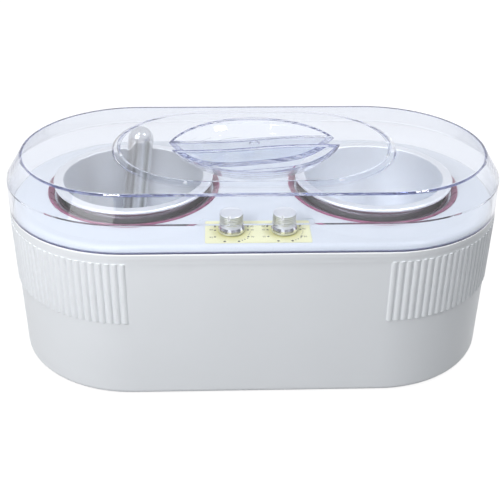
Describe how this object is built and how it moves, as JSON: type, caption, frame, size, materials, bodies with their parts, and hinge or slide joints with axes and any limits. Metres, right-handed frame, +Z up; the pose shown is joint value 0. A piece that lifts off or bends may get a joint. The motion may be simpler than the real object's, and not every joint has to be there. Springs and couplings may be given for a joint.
{
  "type": "twin-pot wax warmer",
  "caption": "White counter-top wax warmer: racetrack housing with ribbed ends, lift-out pots side by side, turning dials and a clear lid with an S-shaped finger grip",
  "frame": {"origin": "the middle of the footprint on the floor plane under the feet", "axes": "+X along the row of pots, to the right when facing the dials; +Y from the dials towards the back; +Z up"},
  "size_m": [0.3716, 0.1896, 0.165],
  "materials": {
    "black_rubber": "matte",
    "screw_steel": "zinc plated",
    "housing_white": "fine satin",
    "deck_gloss": "high gloss",
    "base_white": "satin",
    "well_aluminium": "polished",
    "pot_aluminium": "satin, drawn",
    "seal_magenta": "soft satin",
    "heater_mica": "pressed mica with a steel skin",
    "glass_fibre": "woven glass fibre",
    "fuse_ceramic": "matte",
    "thermostat_case": "satin",
    "sensor_copper": "drawn",
    "nut_brass": "plain",
    "shaft_steel": "turned",
    "knob_metal": "turned, fine brush on top",
    "dial_yellow": "printed film",
    "terminal_ivory": "moulded",
    "rod_polished": "polished",
    "lid_clear": "clear moulded styrene, faintly violet at its edges"
  },
  "bodies": {
    "housing": {"base_plate": "base_white", "foot_front_left": "black_rubber", "foot_front_right": "black_rubber", "foot_back_left": "black_rubber", "foot_back_right": "black_rubber", "base_screws": "screw_steel", "body_shell": "housing_white", "top_deck": "deck_gloss", "deck_screws": "screw_steel", "well_left": "well_aluminium", "well_right": "well_aluminium", "seal_left": "seal_magenta", "seal_right": "seal_magenta", "heater_band_left": "heater_mica", "heater_band_right": "heater_mica", "insulation_left": "glass_fibre", "insulation_right": "glass_fibre", "thermal_fuse_left": "fuse_ceramic", "thermal_fuse_right": "fuse_ceramic", "thermostat_left": "thermostat_case", "thermostat_right": "thermostat_case", "sensor_left": "sensor_copper", "sensor_right": "sensor_copper", "shaft_nut_left": "nut_brass", "shaft_nut_right": "nut_brass", "dial_plate": "dial_yellow", "terminal_block": "terminal_ivory", "cord_grommet": "black_rubber"},
    "lid_cover": {"lid": "lid_clear"},
    "left_pot": {"pot_left": "pot_aluminium"},
    "right_pot": {"pot_right": "pot_aluminium"},
    "rod": {"stirring_rod": "rod_polished"},
    "left_dial": {"shaft_left": "shaft_steel", "knob_left": "knob_metal"},
    "right_dial": {"shaft_right": "shaft_steel", "knob_right": "knob_metal"}
  },
  "joints": [
    {"name": "lid_lift", "type": "slide", "parent": "housing", "child": "lid_cover", "axis": [0, 0, 1], "range_m": [0, 0.25]},
    {"name": "left_pot_lift", "type": "slide", "parent": "housing", "child": "left_pot", "axis": [0, 0, 1], "range_m": [0, 0.125]},
    {"name": "right_pot_lift", "type": "slide", "parent": "housing", "child": "right_pot", "axis": [0, 0, 1], "range_m": [0, 0.125]},
    {"name": "rod_slide", "type": "slide", "parent": "left_pot", "child": "rod", "axis": [0.1301, 0.0785, 0.9884], "range_m": [0, 0.1]},
    {"name": "left_knob_turn", "type": "hinge", "parent": "housing", "child": "left_dial", "pos_m": [-0.0185, -0.0695, 0.1282], "axis": [0, 0, -1], "range_deg": [0, 270]},
    {"name": "right_knob_turn", "type": "hinge", "parent": "housing", "child": "right_dial", "pos_m": [0.0185, -0.0695, 0.1282], "axis": [0, 0, -1], "range_deg": [0, 270]}
  ],
  "couplings": [
    {"joint": "left_pot_lift", "follows": "lid_lift", "ratio": 0.5},
    {"joint": "right_pot_lift", "follows": "lid_lift", "ratio": 0.5},
    {"joint": "rod_slide", "follows": "lid_lift", "ratio": 0.4}
  ]
}
